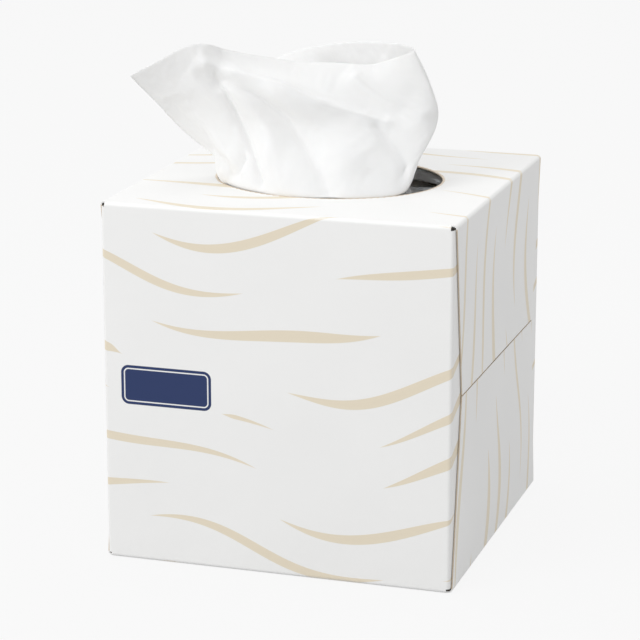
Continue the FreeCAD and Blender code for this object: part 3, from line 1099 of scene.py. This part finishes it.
@dataclass
class RaisedTissue:
    """The tissue that stands out of the slit: a folded sheet, relaxed by simulation."""

    sheet_mm: float = 200.0
    skirt_mm: float = 32.0
    film_depth_mm: float = 0.5
    grid: tuple[int, int] = (241, 127)
    cloth_grid: tuple[int, int] = (121, 64)
    thickness_mm: float = 0.16
    relaxed_share: float = 0.35
    frames: int = 20
    cloth: tuple = (
        ("quality", 7), ("mass", 0.02), ("air_damping", 2.0), ("tension_stiffness", 12.0),
        ("compression_stiffness", 12.0), ("shear_stiffness", 6.0), ("bending_stiffness", 0.05),
        ("tension_damping", 5.0), ("compression_damping", 5.0), ("shear_damping", 5.0),
        ("bending_damping", 0.5), ("vertex_group_mass", "held"), ("pin_stiffness", 1.0),
        ("shrink_min", -0.03),
    )
    pleats: int = 22
    pleat_mm: float = 1.15
    loop_x_mm: float = -3.05
    loop_half_mm: float = 31.45
    loop_shares: tuple[float, ...] = (0, 0.06, 0.51, 1)
    loop_turns: tuple[float, ...] = (-20.0, 0.0, 180.0, 335.0)
    right_end: float = 0.505
    right_reach: float = 0.06
    ribs: tuple[float, ...] = (0, 0.055, 0.12, 0.23, 0.34, 0.42, 0.505, 0.595, 0.705, 0.815, 0.905, 1)
    levels: tuple[float, ...] = (24.0, 31.0, 44.0, 58.0, 72.0)
    lap: Outline = (
        (-33.5, -7.0, 5.5), (-33.2, -12.6, 0.6), (-28.4, -21.3, -0.1), (-13.2, -30.6, -0.25),
        (3.0, -32.6, -0.3), (18.2, -28.8, -0.25), (30.8, -16.9, 0.2), (24.0, 11.0, 2.6),
        (8.0, 17.0, 2.4), (-8.0, 18.5, 2.4), (-22.0, 16.0, 2.6), (-33.0, 10.5, 2.4),
    )
    rise: Outline = (
        (-41.0, -11.5, 10.3), (-35.4, -16.0, 8.4), (-29.6, -22.5, 7.5), (-15.0, -28.8, 7.2),
        (3.0, -29.0, 7.2), (19.0, -24.0, 7.4), (33.4, -11.5, 8.2), (24.5, 9.0, 8.5),
        (7.0, 14.5, 8.5), (-9.0, 16.0, 8.5), (-23.0, 15.0, 8.5), (-33.0, 17.0, 7.0),
    )
    waist: Outline = (
        (-47.1, -20.0, 18.7), (-41.0, -21.0, 20.0), (-33.5, -21.5, 20.5), (-17.0, -19.5, 20.0),
        (2.0, -17.0, 19.0), (20.0, -12.0, 19.0), (36.2, 1.0, 21.0), (24.0, 10.0, 21.0),
        (6.0, 13.0, 20.0), (-11.0, 15.0, 18.0), (-24.0, 18.0, 16.0), (-35.0, 22.0, 13.0),
    )
    shoulder: Outline = (
        (-51.5, -29.0, 28.0), (-45.0, -27.0, 31.0), (-37.0, -24.5, 33.5), (-19.5, -20.5, 32.5),
        (0.5, -15.5, 29.5), (16.5, -5.0, 30.0), (34.5, -1.5, 33.0), (21.5, 11.0, 33.0),
        (2.5, 16.5, 32.0), (-16.0, 20.5, 29.0), (-30.0, 25.0, 24.0), (-43.0, 31.0, 19.0),
    )
    edge: Outline = (
        (-55.7, -38.0, 37.4), (-48.2, -32.0, 41.8), (-39.0, -24.0, 46.4), (-21.0, -13.0, 43.8),
        (-1.0, -3.0, 40.0), (13.0, 0.5, 38.8), (30.0, -5.0, 44.8), (18.0, 11.0, 44.4),
        (-2.0, 19.0, 42.4), (-22.0, 26.0, 37.0), (-37.0, 33.0, 30.0), (-50.0, 41.0, 23.0),
    )
    folds: tuple[Fold, ...] = (
        Fold(((0.155, 62), (0.165, 54), (0.18, 45), (0.215, 34), (0.225, 28)), 3.4, -3.0, FoldKind.CRISP),
        Fold(((0.19, 62), (0.215, 50), (0.25, 38)), 5.0, 1.6),
        Fold(((0.13, 61), (0.15, 57)), 2.6, -1.3),
        Fold(((0.175, 60), (0.23, 54.5), (0.28, 47), (0.33, 37.5), (0.375, 27)), 5.5, -3.6, FoldKind.CRISP),
        Fold(((0.27, 56), (0.33, 46), (0.385, 34)), 6.0, 2.3),
        Fold(((0.14, 65), (0.28, 61), (0.35, 56), (0.395, 50), (0.43, 47.5)), 4.5, 3.1, FoldKind.CRISP),
        Fold(((0.18, 69), (0.29, 67), (0.36, 62.5), (0.41, 56), (0.445, 51.5)), 6.5, -6.0),
        Fold(((0.395, 66), (0.43, 57), (0.475, 48)), 3.5, 2.6, FoldKind.CRISP),
        Fold(((0.42, 46), (0.445, 39.5), (0.485, 31)), 4.0, -2.8, FoldKind.CRISP),
        Fold(((0.0, 63), (0.03, 50), (0.05, 38)), 6.0, -1.2),
        Fold(((0.045, 31), (0.12, 31)), 3.0, -1.5),
        Fold(((0.055, 27), (0.09, 27)), 3.4, 2.1),
        Fold(((0.12, 27), (0.155, 29), (0.185, 34)), 2.4, -3.0, FoldKind.CRISP),
        Fold(((0.44, 70), (0.47, 60)), 6.0, -1.4),
        Fold(((0.62, 60), (0.59, 44), (0.56, 28)), 6.0, -2.6, FoldKind.CRISP),
        Fold(((0.75, 58), (0.72, 44), (0.70, 30)), 7.0, 2.4),
        Fold(((0.86, 56), (0.83, 42), (0.80, 28)), 6.0, -2.4, FoldKind.CRISP),
        Fold(((0.93, 66), (0.90, 48)), 5.0, 1.5),
    )

    def loop(
        self, across: np.ndarray, spread: float, half_depth_mm: float | np.ndarray
    ) -> tuple[np.ndarray, np.ndarray]:
        """X and Y of the flattened loop that the tissue makes in the slit.

        Args:
            across: Shares across the sheet.
            spread: How much longer the loop is than in the slit.
            half_depth_mm: Half the loop's depth.

        Returns:
            X and Y in millimetres.
        """
        turn = np.radians(np.interp(across, self.loop_shares, self.loop_turns))
        half_length = spread * self.loop_half_mm
        return self.loop_x_mm - half_length * np.cos(turn), -half_depth_mm * np.sin(turn)

    def arch(self, x: np.ndarray) -> np.ndarray:
        """Height of the pack's top under the tissue's skirt.

        Args:
            x: Positions from left to right in millimetres.

        Returns:
            Heights in millimetres.
        """
        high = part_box("tissue_stack")[1]
        crown = TissuePack().crown_flat_mm / 2
        radius = high.x / MM - crown
        beyond = np.clip(np.abs(x) - crown, 0.0, radius)
        return high.z / MM - radius + np.sqrt(radius**2 - beyond**2)

    def surface(self, across: np.ndarray, up: np.ndarray) -> np.ndarray:
        """The sheet's form before its folds are pressed in.

        Args:
            across: Shares across the sheet.
            up: Millimetres above the slit.

        Returns:
            Points in millimetres, by column and row.
        """
        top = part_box("carton")[1].z / MM
        film = DispensingFilm()
        low, high = -self.skirt_mm, -8.0
        places, values = [], []
        for place in (low, -24.0, -16.0, high):
            spread, depth, rise = (
                np.interp(place, [low, high], ends) for ends in ([1.3, 1.12], [26.0, 10.0], [0.7, 1.6]))
            x, y = self.loop(across, spread, depth)
            places.append(place)
            values.append(np.stack([x, y, self.arch(x) + rise], -1))
        resting = np.interp(across, [0, 0.09, 0.5, 0.52], [4.5, 20.5, 20.5, 14.0])
        drawn = np.exp(-(((across - self.right_end) / self.right_reach) ** 2))
        for place, spread, depth, rise, drawn_in in (
            (0.0, 1.0, 5.3, 0.3, 2.5), (4.5, 1.02, 9.5, 1.0, 4.0), (14.0, 1.04, resting, 0.8, 5.5),
        ):
            x, y = self.loop(across, spread, depth)
            x = x - drawn_in * drawn
            places.append(place)
            height = top - self.film_depth_mm + film.lift_mm * film.dome(x, y)[1] + rise
            values.append(np.stack([x, y, height], -1))
        for place, points in zip(self.levels, (self.lap, self.rise, self.waist, self.shoulder, self.edge)):
            places.append(place)
            values.append(smooth(self.ribs, np.array(points, float), across) + np.array([0, 0, top]))
        return np.swapaxes(smooth(places, np.array(values), up), 0, 1)

    def folded(self, across: np.ndarray, up: np.ndarray) -> np.ndarray:
        """The sheet's form with its folds, and with the small pleats that gather it into the slit.

        Args:
            across: Shares across the sheet.
            up: Millimetres above the slit.

        Returns:
            Points in millimetres, by column and row.
        """
        points = self.surface(across, up)
        normal = np.cross(np.gradient(points, axis=0), np.gradient(points, axis=1))
        normal /= np.linalg.norm(normal, axis=-1, keepdims=True)
        column, row = np.meshgrid(across * self.sheet_mm, up, indexing="ij")
        depth = sum(fold.press(column, row, self.sheet_mm) for fold in self.folds)
        depth *= np.interp(row, [22, 30], [0.3, 1])
        phase = 2 * np.pi * self.pleats * column / self.sheet_mm
        gathered = np.interp(row, [-self.skirt_mm, -14, -5, 3, 12, 22], [0.9, 1, 0.9, 0.8, 0.4, 0])
        gathered *= np.interp(column / self.sheet_mm, [0, 0.12, 0.84, 0.96], [0, 1, 1, 0])
        gathered *= 0.72 + 0.28 * np.sin(column / 11.0 + 1.3 + row / 19.0)
        lifted = np.interp(row, [-8, 0, 8], [1.0, 0.0, 0.4])
        wander = 1.5 * np.sin(column / 10.5 + row / 13.0) + 1.3 * np.sin(column / 27.0 - row / 15.0)
        depth += self.pleat_mm * gathered * (np.sin(phase + wander) + lifted)
        return points + normal * depth[..., None]

    def build(self, finish: bpy.types.Material) -> bpy.types.Object:
        """Build the tissue in place of its CAD node.

        Args:
            finish: The tissue's material.

        Returns:
            The piece.
        """
        across, up = self.places(self.grid)
        points = self.folded(across, up)
        points = points + self.relaxed_share * self.relaxation(across, up)
        piece = mesh_object("tissue_sheet", points.reshape(-1, 3) * MM, grid_faces(*self.grid))
        sheet = piece.data.uv_layers.new(name="sheet")
        flat = [(a * self.sheet_mm * MM, (u + self.skirt_mm) * MM) for a in across for u in up]
        for loop in piece.data.loops:
            sheet.data[loop.index].uv = flat[loop.vertex_index]
        thicken(piece, self.thickness_mm, 0.0)
        piece.data.materials.append(finish)
        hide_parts("raised_tissue")
        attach(piece, ROOT)
        log.info("raised tissue built with %d faces", len(piece.data.polygons))
        return piece

    def places(self, grid: tuple[int, int]) -> tuple[np.ndarray, np.ndarray]:
        """Evenly spaced places across and up the sheet.

        Args:
            grid: How many columns and rows.

        Returns:
            The shares across, and the millimetres above the slit.
        """
        return np.linspace(0, 1, grid[0]), np.linspace(-self.skirt_mm, self.levels[-1], grid[1])

    def relaxation(self, across: np.ndarray, up: np.ndarray) -> np.ndarray:
        """How far the cloth moves when it relaxes, read at other places.

        Args:
            across: Shares across the sheet.
            up: Millimetres above the slit.

        Returns:
            Movements in millimetres, by column and row.
        """
        coarse_across, coarse_up = self.places(self.cloth_grid)
        start = self.folded(coarse_across, coarse_up)
        cloth = mesh_object("cloth", start.reshape(-1, 3) * MM, grid_faces(*self.cloth_grid))
        self.simulate(cloth, coarse_up)
        settled = np.empty(start.size)
        cloth.data.vertices.foreach_get("co", settled)
        bpy.data.objects.remove(cloth)
        moved = settled.reshape(start.shape) / MM - start
        moved = smooth(coarse_across, moved, across)
        return np.swapaxes(smooth(coarse_up, np.swapaxes(moved, 0, 1), up), 0, 1)

    def simulate(self, cloth: bpy.types.Object, up: np.ndarray) -> None:
        """Let a sheet relax, held at the slit and more softly at its free edge.

        Args:
            cloth: The sheet.
            up: The rows' heights above the slit.
        """
        held = cloth.vertex_groups.new(name="held")
        weights = np.interp(up, [26.0, 34.0, 62.0, 70.0], [1.0, 0.06, 0.06, 0.3])
        for vertex in cloth.data.vertices:
            held.add([vertex.index], float(weights[vertex.index % len(up)]), "REPLACE")
        modifier = cloth.modifiers.new("cloth", "CLOTH")
        settings = modifier.settings
        for name, value in self.cloth:
            setattr(settings, name, value)
        settings.effector_weights.gravity = 0.0
        modifier.point_cache.frame_start = 1
        modifier.point_cache.frame_end = self.frames
        scene = bpy.context.scene
        for number in range(1, self.frames + 1):
            scene.frame_set(number)
            bpy.context.view_layer.update()
        apply_modifiers(cloth)
        scene.frame_set(1)
        log.info("tissue relaxed")


@dataclass(frozen=True)
class Lamp:
    """A soft square lamp that faces the carton."""

    name: str
    place: tuple[float, float, float]
    size: float
    power: float

    def build(self) -> None:
        """Add the lamp."""
        data = bpy.data.lights.new(self.name, "AREA")
        data.size = self.size
        data.energy = self.power
        lamp = bpy.data.objects.new(self.name, data)
        lamp.location = self.place
        aim = Vector((0.0, 0.0, 0.07)) - Vector(self.place)
        lamp.rotation_euler = aim.to_track_quat("-Z", "Y").to_euler()
        bpy.context.scene.collection.objects.link(lamp)


@dataclass
class Studio:
    """A pale floor, a white surrounding, soft lights and the camera at the photograph's angle."""

    camera_at: tuple[float, float, float] = (0.24965, -0.80019, 0.29637)
    camera_aim: tuple[float, float, float] = (-0.2912, 0.9206, -0.2601)
    lens: float = 144.0
    ambient: float = 0.86
    floor_tone: float = 0.5
    floor_glow: float = 0.88
    floor_reach: float = 3.0
    floor_gap: float = 0.0001
    lamps: tuple[Lamp, ...] = (
        Lamp("key", (-0.75, -1.1, 0.75), 0.8, 7.3),
        Lamp("top", (-0.15, 0.05, 1.3), 0.9, 2.1),
    )

    def build(self) -> None:
        """Build all of it."""
        self.add_camera()
        self.add_floor()
        self.add_world()
        for lamp in self.lamps:
            lamp.build()

    def add_camera(self) -> None:
        """Place the camera and make it the scene's."""
        data = bpy.data.cameras.new("camera")
        data.lens = self.lens
        camera = bpy.data.objects.new("camera", data)
        camera.location = self.camera_at
        camera.rotation_euler = Vector(self.camera_aim).to_track_quat("-Z", "Y").to_euler()
        bpy.context.scene.collection.objects.link(camera)
        bpy.context.scene.camera = camera

    def add_floor(self) -> None:
        """A wide pale floor that keeps a soft shadow."""
        corners = np.array([(x, y, 0) for x, y in ((-1, -1), (1, -1), (1, 1), (-1, 1))]) * self.floor_reach
        floor = mesh_object("floor", corners - np.array([0, 0, self.floor_gap]), [(0, 1, 2, 3)])
        material = bpy.data.materials.new("pale_floor")
        material.use_nodes = True
        material.node_tree.nodes.clear()
        graph = Graph(material.node_tree)
        diffuse = graph.add("ShaderNodeBsdfDiffuse", {"Color": rgba((self.floor_tone,) * 3)})
        glow = graph.add("ShaderNodeEmission", {"Color": rgba(WHITE), "Strength": 1.0})
        share = graph.seen() * self.floor_glow
        mixed = graph.add("ShaderNodeMixShader", {0: share, 1: diffuse.outputs[0], 2: glow.outputs[0]})
        graph.add("ShaderNodeOutputMaterial", {"Surface": mixed.outputs[0]})
        floor.data.materials.append(material)

    def add_world(self) -> None:
        """A white surrounding to the camera, and a softer one as light."""
        world = bpy.data.worlds.new("surrounding")
        bpy.context.scene.world = world
        world.use_nodes = True
        world.node_tree.nodes.clear()
        graph = Graph(world.node_tree)
        strength = graph.choose(graph.seen(), self.ambient, 1.0)
        light = graph.add("ShaderNodeBackground", {"Color": rgba(WHITE), "Strength": strength})
        graph.add("ShaderNodeOutputWorld", {"Surface": light.outputs[0]})


def main() -> None:
    """Build the pieces in order and set the scene."""
    logging.basicConfig(level=logging.INFO, format="%(name)s: %(message)s")
    bpy.context.scene.view_settings.view_transform = "Standard"
    effects = Effects()
    carton = Carton()
    board = BoardFinish(carton.sizes).build(effects)
    tissue = TissueFinish().build(effects)
    film = FilmFinish().build(effects)
    carton.dress(board)
    carton.build_nibs(board)
    TissuePack().build(tissue)
    DispensingFilm().build(film)
    RaisedTissue().build(tissue)
    Studio().build()


if __name__ == "__main__":
    main()
